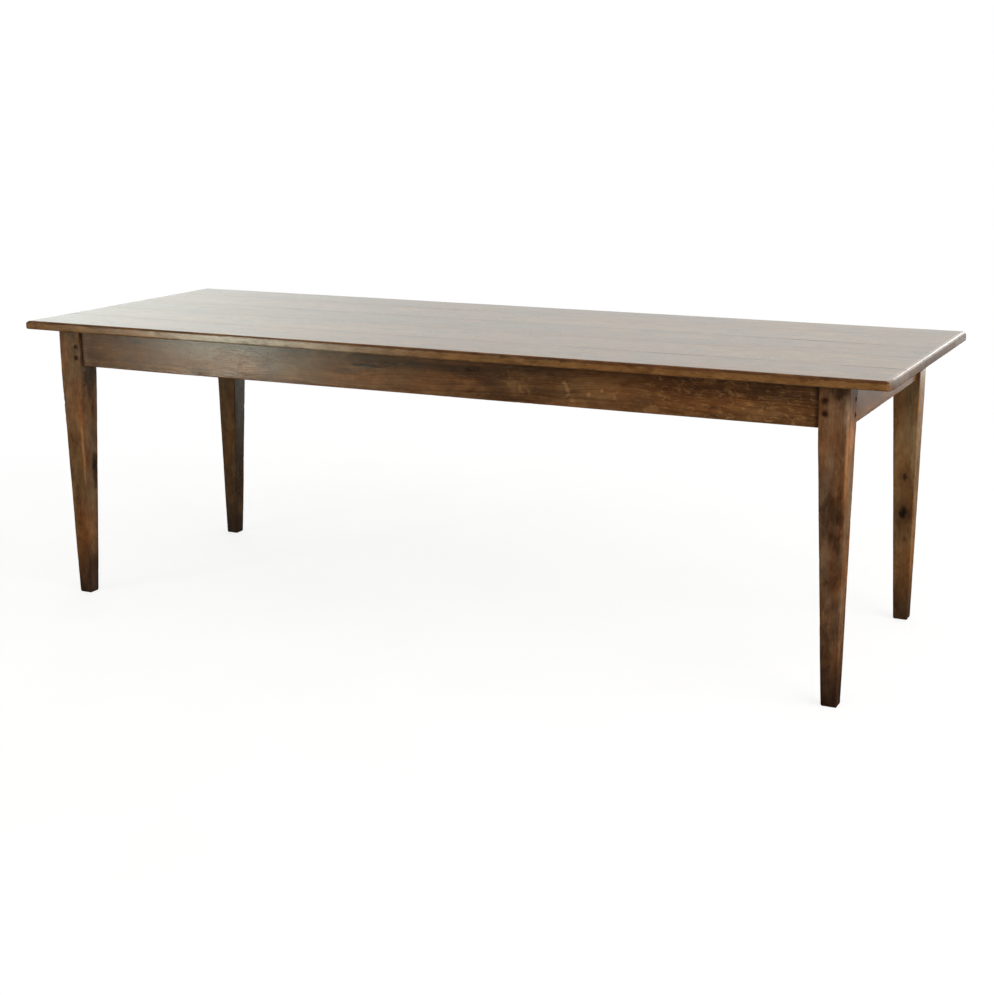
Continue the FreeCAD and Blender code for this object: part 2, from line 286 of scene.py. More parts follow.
def oak(
    name, axis, pith, seed, tone=0.0, tint=(1.0, 1.0, 1.0), contrast=1.0, blotch=1.0, streak=1.0, rings=260.0, hue=1.0,
    fleck=0.0, fleck_span=None, loops=(), knots=(), darks=(), pales=(), patina=0.0, patina_span=None, worn=0.0, worn_dark=0.0, has_edge=True,
    lip=None, foot=0.0, raw=None, raw_tone=0.05, bands=(), shade=(), faces=(), grain=1.0, mottle=0.0, mottle_size=1.0, ringy=1.0, lip_sheen=None, pits=0.0, seam=False, hue_size=1.0, end_grain=False, rough=0.42, rough_var=1.0, bump=0.00035, coat=0.0, coat_rough=0.22, specular=0.5, checks=0.5,
):
    """Stained oak sawn from a log whose heart runs along the given axis, off to the side by pith (metres)."""
    s = Shade(name)
    co = s.add("ShaderNodeTexCoord").outputs["Object"]
    x, y, z = s.xyz(co)
    pick = {"x": x, "y": y, "z": z}
    a, p, q = {"X": (x, y, z), "Y": (y, x, z), "Z": (z, x, y)}[axis]
    base = s.join(s.math("ADD", a, seed * 1.713), s.math("ADD", p, seed * 0.37), q)
    drift = s.vec("SUBTRACT", s.noise(base, (1.3, 4.0, 4.0), 2.0, colour=True), (0.5, 0.5, 0.5))
    drift = s.vec("MULTIPLY", drift, (0.0, 0.05, 0.05))
    wave = s.vec("SUBTRACT", s.noise(base, (7.0, 16.0, 16.0), 2.0, colour=True), (0.5, 0.5, 0.5))
    drift = s.vec("ADD", drift, s.vec("MULTIPLY", wave, (0.0, 0.010, 0.010)))
    core_dark, halo_dark, swell = 0.0, 0.0, 0.0
    ragged = s.minus(s.noise(base, (90.0, 140.0, 140.0), 3.0), 0.5)
    for kx, ky, kz, kr, weight in knots:
        off = s.vec("SUBTRACT", co, (kx, ky, kz))
        squash = {"X": (0.62, 1, 1), "Y": (1, 0.62, 1), "Z": (1, 1, 0.62)}[axis]
        d = s.math("DIVIDE", s.vec("LENGTH", s.vec("MULTIPLY", off, squash)), kr)
        d = s.math("ADD", d, s.times(ragged, 0.9))
        core_dark = s.math("ADD", core_dark, s.smooth(d, 0.95, 0.35, 0.0, weight))
        halo_dark = s.math("ADD", halo_dark, s.smooth(d, 2.6, 0.7, 0.0, weight * 0.55))
        swell = s.math("ADD", swell, s.times(s.math("EXPONENT", s.times(d, d, -0.22)), kr * 1.3))
    flow = s.vec("ADD", base, drift)
    if knots:
        flow = s.vec("ADD", flow, s.join(0.0, swell, s.times(swell, 0.6)))
    fa, fp, fq = s.xyz(flow)
    rp = s.minus(fp, pith[0] + seed * 0.37)
    rq = s.minus(fq, pith[1])
    r = s.math("SQRT", s.plus(s.times(rp, rp), s.times(rq, rq)))
    phase = s.plus(s.times(r, rings), s.times(s.noise(flow, (2.0, 45.0, 45.0), 2.0), 2.2))
    f = s.math("FRACT", phase)
    ring = s.minus(s.smooth(f, 0.02, 0.5), s.smooth(f, 0.86, 1.0))

    broad = s.minus(s.noise(flow, (0.9, 22.0, 22.0), 2.0, 0.55), 0.5)
    mid = s.minus(s.noise(flow, (3.2, 105.0, 105.0), 3.0, 0.6), 0.5)
    fine = s.minus(s.noise(flow, (15.0, 430.0, 430.0), 2.0, 0.6), 0.5)
    cloud = s.minus(s.noise(base, (3.6, 9.0, 9.0), 4.0, 0.6, 0.6), 0.5)
    stain = s.minus(s.noise(base, (17.0, 34.0, 34.0), 3.0, 0.62, 0.5), 0.5)
    pore = s.times(s.smooth(s.noise(flow, (75.0, 1500.0, 1500.0), 1.0), 0.57, 0.70), s.smooth(ring, 1.0, 0.1, 0.25, 1.0))

    t = s.plus(
        0.5 + tone, s.times(broad, 0.75 * contrast * streak), s.times(mid, 0.62 * contrast * streak), s.times(fine, 0.34 * contrast * grain),
        s.times(cloud, 0.62 * contrast * blotch), s.times(stain, 0.42 * contrast * blotch), s.times(s.minus(ring, 0.6), 0.10 * contrast * ringy),
    )
    if mottle > 0.0:
        patch = s.minus(s.noise(base, (26.0 * mottle_size, 44.0 * mottle_size, 44.0 * mottle_size), 4.0, 0.62, 1.2), 0.5)
        t = s.plus(t, s.times(patch, mottle))
    # shade: the tone moved over a span along one axis; the front apron uses it for painted shade under the top's
    # overhang
    for lo, hi, amount, ax in shade:
        t = s.plus(t, s.smooth(pick[ax], lo, hi, 0.0, amount))
    painted_face_light = []
    for way, amount, col, span in faces:
        # painted light and shade: the face of the stick picked by its normal is made lighter or darker and tinted over
        # a span of height, standing in for the light that falls on that side and the sheen it reflects
        turned = s.smooth(s.vec("DOT_PRODUCT", s.add("ShaderNodeNewGeometry").outputs["Normal"], way), 0.60, 0.95)
        turned = s.times(turned, s.smooth(s.plus(z, s.times(cloud, 0.15)), *span))
        t = s.plus(t, s.times(turned, amount))
        painted_face_light.append((turned, col))
    for px, py, pz, la, lc, weight in darks + tuple((k[0], k[1], k[2], k[3], k[4], -k[5]) for k in pales):
        off = s.vec("SUBTRACT", co, (px, py, pz))
        size = {"X": (1 / la, 1 / lc, 1 / lc), "Y": (1 / lc, 1 / la, 1 / lc), "Z": (1 / lc, 1 / lc, 1 / la)}[axis]
        d = s.math("ADD", s.vec("LENGTH", s.vec("MULTIPLY", off, size)), s.plus(s.times(stain, 1.4), s.times(mid, 0.9)))
        t = s.minus(t, s.smooth(d, 1.15, 0.25, 0.0, weight))
    colour = s.ramp(t, OAK)
    warm = s.noise(base, (2.2 * hue_size, 7.0 * hue_size, 7.0 * hue_size), 2.0, 0.5)
    red = tuple(c * (1 + hue * h) for c, h in zip(tint, (0.05, -0.06, -0.16)))
    tan = tuple(c * (1 + hue * h) for c, h in zip(tint, (-0.03, 0.04, 0.10)))
    colour = s.mix(s.smooth(warm, 0.35, 0.68), s.mix(1.0, colour, red, "MULTIPLY"), s.mix(1.0, colour, tan, "MULTIPLY"))
    if patina > 0.0:
        # old wax and hand grease, gathered in soft reddish brown patches
        grease = s.smooth(s.plus(s.noise(base, (9.0, 21.0, 21.0), 4.0, 0.62, 0.8), s.times(stain, 0.25)), 0.47, 0.62, 0.0, patina)
        if patina_span:
            grease = s.times(grease, s.smooth(a, patina_span[0], patina_span[1], 0.25, 1.0), s.smooth(a, patina_span[3], patina_span[2], 0.25, 1.0))
        colour = s.mix(grease, colour, s.mix(1.0, colour, (0.66, 0.58, 0.56), "MULTIPLY"))
    colour = s.mix(s.times(pore, 0.40), colour, DARK)

    height = s.plus(s.times(fine, 0.8), s.times(mid, 0.9), s.times(ring, 0.30), s.times(pore, -0.7))
    gloss = s.plus(rough, s.times(cloud, 0.22 * rough_var), s.times(mid, 0.16 * rough_var), s.times(pore, 0.12 * rough_var), s.times(stain, 0.14 * rough_var))

    if fleck > 0.0:
        # ray flecks: pale wisps lying across the grain
        slant = s.vec("ADD", flow, s.join(s.times(fq, 0.55), 0.0, 0.0))
        curl = s.noise(slant, (30.0, 84.0, 84.0), 2.0, 0.5, 0.5)
        line = s.smooth(s.math("ABSOLUTE", s.minus(curl, 0.5)), 0.050, 0.012)
        curl2 = s.noise(s.vec("ADD", slant, (7.3, 2.1, 4.4)), (46.0, 70.0, 70.0), 1.0, 0.5, 0.4)
        line = s.math("MAXIMUM", line, s.times(s.smooth(s.math("ABSOLUTE", s.minus(curl2, 0.52)), 0.034, 0.008), 0.8))
        where = s.smooth(s.noise(base, (34.0, 90.0, 90.0), 2.0), 0.46, 0.60)
        line = s.times(line, where, fleck)
        if fleck_span:
            line = s.times(line, s.smooth(a, fleck_span[0], fleck_span[1], 0.06, 1.0))
        for a0, z0, tall, bulge, width, weight in loops:
            h = s.math("DIVIDE", s.minus(z, z0), tall)
            bow = s.plus(s.minus(a, a0), s.times(s.minus(1.0, s.times(h, h)), s.minus(1.0, s.times(h, 0.7)), -bulge), s.times(stain, 0.030), s.times(ragged, 0.014))
            broken = s.smooth(s.noise(base, (80.0, 110.0, 110.0), 2.0), 0.36, 0.58, 0.25, 1.0)
            stroke = s.times(s.smooth(s.math("ABSOLUTE", bow), width, width * 0.2), s.smooth(s.math("ABSOLUTE", h), 1.10, 0.60), broken, weight)
            line = s.math("MAXIMUM", line, stroke)
        colour = s.mix(line, colour, s.mix(0.50, s.mix(1.0, colour, (2.2, 2.2, 2.0), "MULTIPLY"), (0.33, 0.195, 0.085)))
        gloss = s.plus(gloss, s.times(line, -0.06))
    if checks > 0.0:
        crack = s.noise(flow, (3.0, 58.0, 58.0), 1.0, 0.5)
        crack = s.smooth(s.math("ABSOLUTE", s.minus(crack, 0.5)), 0.010, 0.002)
        crack = s.times(crack, s.smooth(s.noise(base, (5.5, 11.0, 11.0), 2.0), 0.57, 0.67), checks)
        colour = s.mix(crack, colour, DARK)
        height = s.plus(height, s.times(crack, -1.6))
    if pits > 0.0:
        # open pores and rubbed spots: short dashes along the grain
        dash = s.smooth(s.noise(flow, (48.0, 300.0, 300.0), 2.0, 0.5), 0.58, 0.68)
        dash = s.times(dash, s.smooth(s.noise(base, (9.0, 26.0, 26.0), 2.0), 0.40, 0.62), pits)
        colour = s.mix(s.times(dash, 0.40), colour, DARK)
        gloss = s.plus(gloss, s.times(dash, 0.22))
        height = s.plus(height, s.times(dash, -0.6))
    if knots:
        ringlets = s.math("SINE", s.times(swell, 2600.0))
        colour = s.mix(s.math("MINIMUM", halo_dark, 1.0), colour, s.mix(s.smooth(ringlets, -0.6, 0.8), (0.032, 0.013, 0.006), (0.085, 0.036, 0.014)))
        colour = s.mix(s.math("MINIMUM", core_dark, 1.0), colour, (0.012, 0.006, 0.004))
        height = s.plus(height, s.times(core_dark, -1.2))
    if has_edge and (worn > 0.0 or worn_dark > 0.0):
        gap = s.attribute("edge")
        if worn > 0.0:
            bare = s.smooth(s.plus(gap, s.times(stain, 13.0), s.times(cloud, 9.0)), 3.4, 0.2, 0.0, worn)
            colour = s.mix(bare, colour, s.mix(1.0, s.mix(0.5, colour, (0.26, 0.140, 0.052)), (1.32, 1.26, 1.1), "MULTIPLY"))
            gloss = s.plus(gloss, s.times(bare, 0.05))
        if worn_dark > 0.0:
            grime = s.smooth(s.plus(gap, s.times(stain, 12.0)), 7.0, 2.0, 0.0, worn_dark)
            colour = s.mix(grime, colour, s.mix(1.0, colour, (0.62, 0.50, 0.45), "MULTIPLY"))
    if lip:
        # along the rim of the top: a dark band on the rounded arris, lighter below it
        nick = s.minus(s.noise(base, (60.0, 90.0, 90.0), 3.0, 0.65), 0.5)
        reach = s.plus(s.attribute("lip"), s.times(stain, 6.0), s.times(mid, 3.0), s.times(nick, 9.0))
        gloss = s.plus(gloss, s.smooth(s.attribute("lip"), -3.0, -8.0, 0.0, lip[2]), s.smooth(s.math("ABSOLUTE", s.math("ADD", s.attribute("lip"), 1.0)), 5.0, 2.0, 0.0, -0.06))
        dark_band = s.times(s.smooth(reach, -8.6, -5.6), s.smooth(reach, 3.5, -0.5), s.smooth(x, -0.35, 0.15, 0.6 * lip[0], lip[0]))
        colour = s.mix(s.smooth(reach, -5.0, -9.5, 0.0, lip[1]), colour, s.mix(1.0, s.mix(0.4, colour, (0.215, 0.112, 0.040)), (1.34, 1.30, 1.14), "MULTIPLY"))
        patchy = s.smooth(s.noise(base, (22.0, 80.0, 80.0), 3.0, 0.62), 0.46, 0.60, 0.0, 0.80)
        # painted reflection: on the stretch of the front edge listed for it, a pale grey sheen is painted and the
        # darker patches are weaker
        if lip_sheen:
            patchy = s.times(patchy, s.smooth(x, lip_sheen[2], lip_sheen[3], 0.35, 1.0))
        colour = s.mix(s.times(patchy, s.smooth(reach, -4.0, -8.0)), colour, s.mix(1.0, colour, (0.66, 0.60, 0.54), "MULTIPLY"))
        colour = s.mix(dark_band, colour, s.mix(1.0, colour, (0.60, 0.46, 0.40), "MULTIPLY"))
        if lip_sheen:
            # painted reflection: a stretch of the edge made pale and grey, standing in for the window's sheen on it
            painted_sheen = s.times(s.smooth(x, lip_sheen[0], lip_sheen[1]), s.smooth(x, lip_sheen[3], lip_sheen[2]), s.smooth(reach, -2.0, -7.0))
            colour = s.mix(painted_sheen, colour, s.mix(1.0, colour, lip_sheen[4], "MULTIPLY"))
            notch = s.smooth(s.noise(base, (24.0, 60.0, 60.0), 2.0, 0.6), 0.56, 0.64, 0.0, 0.5)
            colour = s.mix(s.times(notch, s.smooth(reach, -1.0, -4.0)), colour, s.mix(1.0, colour, (0.50, 0.42, 0.36), "MULTIPLY"))
    if end_grain:
        # sawn ends: darker, duller, speckled with open pores
        cut = s.times(s.smooth(s.math("ABSOLUTE", x), 1.1925, 1.1975), s.smooth(s.attribute("lip"), -3.0, -6.0))
        speck = s.noise(co, (60.0, 900.0, 900.0), 2.0, 0.6)
        colour = s.mix(s.times(cut, 0.9), colour, s.mix(1.0, colour, s.ramp(speck, ((0.35, (0.26, 0.26, 0.29)), (0.65, (0.58, 0.58, 0.64)))), "MULTIPLY"))
        handled = s.times(s.smooth(s.math("ABSOLUTE", x), 1.183, 1.190), s.smooth(s.attribute("lip"), -5.0, -1.0))
        gloss = s.plus(gloss, s.times(cut, 0.18), s.times(handled, -0.09))
        height = s.plus(height, s.times(s.minus(speck, 0.5), cut, 1.5))
    for lo, hi, amount, ax, col in bands:
        band = s.smooth(s.plus(pick[ax], s.times(stain, 0.006)), lo, hi, 0.0, amount)
        colour = s.mix(band, colour, s.mix(1.0, colour, col, "MULTIPLY"))
    # painted light and shade: each listed face takes its own tint
    for turned, col in painted_face_light:
        colour = s.mix(turned, colour, s.mix(1.0, colour, col, "MULTIPLY"))
    if foot > 0.0:
        low = s.smooth(s.plus(z, s.times(cloud, 0.10), s.times(stain, 0.05)), 0.190, 0.015, 0.0, foot)
        colour = s.mix(low, colour, s.mix(1.0, colour, (0.24, 0.22, 0.26), "MULTIPLY"))
        gloss = s.plus(gloss, s.times(low, 0.15))
    if raw:
        ax, lo, hi = raw
        inner = s.smooth(pick[ax], lo, hi)
        dusty = s.ramp(s.plus(t, raw_tone), ((0.2, (0.060, 0.034, 0.018)), (0.5, (0.170, 0.104, 0.056)), (0.85, (0.300, 0.205, 0.125))))
        colour = s.mix(s.times(inner, 0.85), colour, dusty)
        sawn = s.math("SINE", s.plus(s.times(a, 1900.0), s.times(cloud, 14.0)))
        height = s.plus(height, s.times(sawn, inner, 0.22))
        gloss = s.plus(gloss, s.times(inner, 0.28))
    if seam:
        # dust and wax in the joints between the boards
        crease = s.smooth(s.plus(s.attribute("seam"), s.times(stain, 2.0)), 2.2, 0.5, 0.0, 0.75)
        colour = s.mix(crease, colour, s.mix(1.0, colour, (0.36, 0.31, 0.28), "MULTIPLY"))
        gloss = s.plus(gloss, s.times(crease, 0.12))
    return s.finish(colour, s.math("MINIMUM", s.math("MAXIMUM", gloss, 0.13), 0.92), height, bump, coat, coat_rough, specular)


def steel(name):
    s = Shade(name)
    co = s.add("ShaderNodeTexCoord").outputs["Object"]
    grime = s.noise(co, (220.0, 220.0, 220.0), 4.0, 0.6)
    lathe = s.noise(co, (900.0, 900.0, 40.0), 2.0, 0.5)
    colour = s.ramp(s.plus(s.times(grime, 0.8), s.times(lathe, 0.2)), ((0.32, (0.055, 0.040, 0.030)), (0.5, (0.20, 0.175, 0.15)), (0.72, (0.38, 0.36, 0.33))))
    b = s.add("ShaderNodeBsdfPrincipled")
    s.put(b.inputs["Base Color"], colour)
    s.put(b.inputs["Metallic"], s.smooth(grime, 0.36, 0.52, 0.35, 1.0))
    s.put(b.inputs["Roughness"], s.smooth(grime, 0.3, 0.7, 0.62, 0.34))
    n = s.add("ShaderNodeBump")
    n.inputs["Strength"].default_value = 1.0
    n.inputs["Distance"].default_value = 0.00012
    s.put(n.inputs["Height"], s.plus(grime, s.times(lathe, 0.5)))
    s.put(b.inputs["Normal"], n.outputs[0])
    s.t.links.new(b.outputs[0], s.out.inputs[0])
    return s.m


# ------------------------------------------------------------------ the five boards of the top
BOARD = (
    # heart of the log (across, up), seed, tone, tint, knots
    dict(pith=(-0.36, -0.30), seed=3.0, tone=-0.015, tint=(1.02, 0.98, 0.92), knots=(),
         darks=((-0.94, -0.425, 0.767, 0.10, 0.020, 0.09), (-1.09, -0.425, 0.769, 0.12, 0.020, 0.07), (0.23, -0.425, 0.767, 0.09, 0.016, 0.07), (0.69, -0.425, 0.767, 0.12, 0.016, 0.03))),
    dict(pith=(-0.10, -0.35), seed=11.0, tone=0.03, tint=(1.0, 1.0, 1.0), knots=((-0.74, -0.150, 0.780, 0.011, 0.7),)),
    dict(pith=(0.02, -0.16), seed=19.0, tone=-0.04, tint=(1.0, 0.98, 0.95), knots=((0.83, 0.045, 0.780, 0.013, 0.7), (-0.28, 0.0, 0.780, 0.007, 0.6))),
    dict(pith=(0.14, -0.22), seed=27.0, tone=0.02, tint=(1.02, 1.0, 0.96), knots=((0.35, 0.215, 0.780, 0.009, 0.7),)),
    dict(pith=(0.40, -0.18), seed=35.0, tone=-0.03, tint=(1.0, 0.97, 0.93), knots=((1.197, 0.372, 0.770, 0.006, 0.6),)),
)
STEP_DOWN = (0.04, 0.12, 0.02, 0.10, 0.05)
SEAM = 0.06


def board(k):
    y0, y1 = JOINTS[k], JOINTS[k + 1]
    front, back = k == 0, k == 4
    ends = (0, 0.5, 1.2, 2.1, 3.2, 4.6, 6.2, 8.0, 10.5)
    far = (0, 0.6, 1.4, 2.4, 3.6, 5.0, 6.6, 8.4, 10.4, 12.6, 15.0)
    seam = (0, 0.15, 0.35, 1.4)
    xs = stops(-HALF_L, HALF_L, 6.0, far, far)
    ys = stops(y0 + (0 if front else SEAM), y1 - (0 if back else SEAM), 6.0, ends if front else seam, ends if back else seam)
    zs = np.concatenate([UNDER_Z + np.array((0, 0.4, 1.0, 1.9, 3.0, 4.6, 7.4, 11.0)), TOP_Z - np.array((12.4, 10.2, 8.4, 6.8, 5.2, 3.8, 2.5, 1.5, 0.6, 0))])
    v, f = grid_box(xs, ys, zs)
    planes = [(0, -HALF_L), (0, HALF_L), (2, TOP_Z), (2, UNDER_Z)]
    planes += [(1, y0)] if front else []
    planes += [(1, y1)] if back else []
    gap = edge_gap(v, planes)
    gap = np.minimum(gap, 60.0)
    x, y, z = v[:, 0].copy(), v[:, 1].copy(), v[:, 2].copy()
    # how far in from the upper rim: positive on the flat top, negative down the sides
    inward = np.minimum(HALF_L - np.abs(x), 60.0)
    if front:
        inward = np.minimum(inward, y - y0)
    if back:
        inward = np.minimum(inward, y1 - y)
    lip = np.where(z > TOP_Z - 1e-6, inward, z - TOP_Z)
    # how far from the joints with the neighbouring boards
    joint = np.full(len(v), 60.0)
    if not front:
        joint = np.minimum(joint, y - y0)
    if not back:
        joint = np.minimum(joint, y1 - y)
    # worn arrises, rounder in some stretches than in others
    long_r = 6.9 + 1.1 * noise1(x / 210 + 5, 40 + k) + 0.6 * noise1(x / 47, 41 + k)
    end_r = 11.6 + 0.8 * noise1(y / 120 + 9, 50) + 0.3 * noise1(y / 31, 51)
    low_r = 3.4 + 0.6 * noise1(x / 160, 60 + k) + 1.6 * step(HALF_L - 120, HALF_L - 10, np.abs(x))
    if front:
        round_edge(v, 1, y0, -1, 2, TOP_Z, 1, long_r)
        round_edge(v, 1, y0, -1, 2, UNDER_Z, -1, low_r)
    else:
        round_edge(v, 1, y0 + SEAM, -1, 2, TOP_Z, 1, 0.3)
        round_edge(v, 1, y0 + SEAM, -1, 2, UNDER_Z, -1, 0.5)
    if back:
        round_edge(v, 1, y1, 1, 2, TOP_Z, 1, long_r)
        round_edge(v, 1, y1, 1, 2, UNDER_Z, -1, low_r)
    else:
        round_edge(v, 1, y1 - SEAM, 1, 2, TOP_Z, 1, 0.3)
        round_edge(v, 1, y1 - SEAM, 1, 2, UNDER_Z, -1, 0.5)
    for side in (-1, 1):
        round_edge(v, 0, side * HALF_L, side, 2, TOP_Z, 1, end_r)
        round_edge(v, 0, side * HALF_L, side, 2, UNDER_Z, -1, 5.0 if side < 0 else 3.2)
        if front:
            round_edge(v, 0, side * HALF_L, side, 1, y0, -1, 5.0 if side < 0 else 7.0)
        if back:
            round_edge(v, 0, side * HALF_L, side, 1, y1, 1, 11.0)
    # planed by hand: a little cup in every board, slow waves, small steps at the joints
    t = (y - y0) / (y1 - y0)
    up = np.clip((z - UNDER_Z) / (TOP_Z - UNDER_Z), 0, 1)
    cup = 0.14 * (1 - (2 * t - 1) ** 2) if k % 2 else 0.12 * (2 * t - 1) ** 2
    waves = 0.14 * (noise2(x / 300 + 3 * k, y / 95, 70 + k) + 1) + 0.04 * (noise2(x / 110, y / 40 + 5 * k, 80 + k) + 1)
    v[:, 2] -= up * (cup + waves + STEP_DOWN[k])
    v[:, 2] += (1 - up) * 0.25 * (noise2(x / 150, y / 60, 90 + k) + 1)
    # saw-cut ends, a little ragged
    near_end = step(HALF_L - 90, HALF_L, np.abs(x))
    ragged = 0.15 + 0.10 * (noise2(y / 45 + 7, z / 40, 95) + 1)
    v[:, 0] -= np.sign(x) * near_end * ragged
    # the long edges wander, and the right front corner is knocked back
    if front:
        v[:, 0] -= np.where(x > 0, near_end * 5.5 * np.clip((48.0 - (y - y0)) / 48.0, 0, 1) ** 1.6, 0)
        v[:, 1] += (1 - step(0, 80, y - y0)) * (0.35 * (noise1(x / 260 + 2, 110) + 1) + 0.14 * (noise1(x / 60, 111) + 1))
        dents(v, ((-985, -424, 777, 8, 0.7), (-872, -425, 768, 14, 0.2), (-760, -424, 771, 16, 0.5), (-655, -425, 767, 14, 0.4), (-548, -424, 775, 14, 0.5), (-395, -424, 777, 14, 0.4),
                  (-252, -424, 776, 16, 0.35), (-120, -424, 776, 18, 0.4), (145, -425, 765, 9, 0.5), (330, -424, 776, 11, 0.9), (612, -424, 773, 9, 0.8), (868, -424, 775, 11, 1.1),
                  (1020, -425, 766, 8, 0.7)), (0, 1, -0.5))
    if back:
        v[:, 1] -= (1 - step(0, 80, y1 - y)) * (0.35 * (noise1(x / 240 + 2, 112) + 1) + 0.14 * (noise1(x / 55, 113) + 1))
        dents(v, ((-900, 424, 774, 9, 1.2), (-310, 424, 776, 8, 1.1), (240, 424, 773, 10, 1.3), (790, 424, 775, 7, 1.0)), (0, -1, -0.5))
    dents(v, ((1199, y0 + 0.31 * (y1 - y0), 770, 9, 0.25), (1199, y0 + 0.77 * (y1 - y0), 768, 8, 0.25)), (-1, 0, -0.5))
    dents(v, ((-1199, y0 + 0.22 * (y1 - y0), 772, 8, 0.6), (-1199, y0 + 0.63 * (y1 - y0), 770, 7, 0.5)), (1, 0, -0.5))
    spec = BOARD[k]
    mat = oak(
        "oak_top_%d" % (k + 1), "X", spec["pith"], spec["seed"], tone=spec["tone"], tint=spec["tint"], knots=spec["knots"], contrast=0.68, hue=0.6, grain=0.45,
        blotch=1.5, streak=0.22, mottle=0.26, mottle_size=0.25, fleck=0.20, end_grain=True, lip=(0.9, 0.75, -0.075) if front or back else (0.55, 0.35, 0.0), raw=("z", 0.7576, 0.7566),
        # painted reflection: a pale grey sheen of the window painted on a stretch of the front board's edge
        rough=0.29, rough_var=0.22, bump=0.00006, checks=0.35, seam=True, lip_sheen=(-0.78, -0.56, -0.40, 0.16, (1.28, 2.06, 4.4)) if front else None,
        darks=spec.get("darks", ()), raw_tone=(0.05, 0.10, 0.0, 0.08, 0.02)[k],
    )
    return make("board_%d" % (k + 1), v, f, "top_oak", mat, ["top_board_%d" % (k + 1)], edge=gap, lip=lip, seam=joint)


for k in range(5):
    board(k)


# ------------------------------------------------------------------ aprons
def apron(name, node, axis, half, face, back, mat, seed):
    """A rail standing on edge; its outer face looks away from the middle of the table."""
    small = (0, 0.3, 0.8, 2.0)
    low = (0, 0.5, 1.1, 1.9, 2.8, 4.2)
    side = 1 if face > 0 else -1
    al = stops(-half - 0.4, half + 0.4, 6.5, small, small)
    lo, hi = sorted((face, back))
    ac = stops(lo, hi, 5.5, low, low)
    zs = stops(APRON_Z, UNDER_Z, 5.5, low, small)
    if axis == "X":
        v, f = grid_box(al, ac, zs)
        A, B = 0, 1
    else:
        v, f = grid_box(ac, al, zs)
        A, B = 1, 0
    gap = np.minimum(edge_gap(v, [(B, lo), (B, hi), (2, APRON_Z)]), 60.0)
    a, c, z = v[:, A].copy(), v[:, B].copy(), v[:, 2].copy()
    r = 1.9 + 0.7 * noise1(a / 140, seed) + 0.5 * noise1(a / 27, seed + 1)
    round_edge(v, B, lo, -1, 2, APRON_Z, -1, r)
    round_edge(v, B, hi, 1, 2, APRON_Z, -1, r)
    # planed faces
    out = np.clip((c - back) / (face - back), 0, 1)
    ease_end = step(0, 25, half - np.abs(a))
    v[:, B] -= side * out * ease_end * (0.22 * (noise2(a / 240, z / 60, seed + 2) + 1) + 0.07 * (noise2(a / 70, z / 22, seed + 3) + 1))
    v[:, B] += side * (1 - out) * ease_end * 0.3 * (noise2(a / 90, z / 30, seed + 4) + 1)
    v[:, 2] += (1 - step(0, 40, z - APRON_Z)) * ease_end * 0.3 * (noise1(a / 190, seed + 5) + 1)
    rng = np.random.default_rng(seed)
    spots = []
    for u in rng.uniform(-half + 40, half - 40, 7):
        p = [0, 0, APRON_Z]
        p[A], p[B] = u, face
        spots.append((p[0], p[1], p[2], rng.uniform(4, 8), rng.uniform(0.6, 1.2)))
    push = [0, 0, 0.8]
    push[B] = -side
    dents(v, spots, push)
    return make(name, v, f, "frame_oak", mat, [node], edge=gap)


APRON_LOOK = dict(contrast=0.8, blotch=1.1, streak=0.45, grain=0.65, mottle=0.28, hue_size=2.0, patina=0.55, worn=0.45, rough=0.195, rough_var=0.30, bump=0.00006, pits=0.8, checks=0.2)
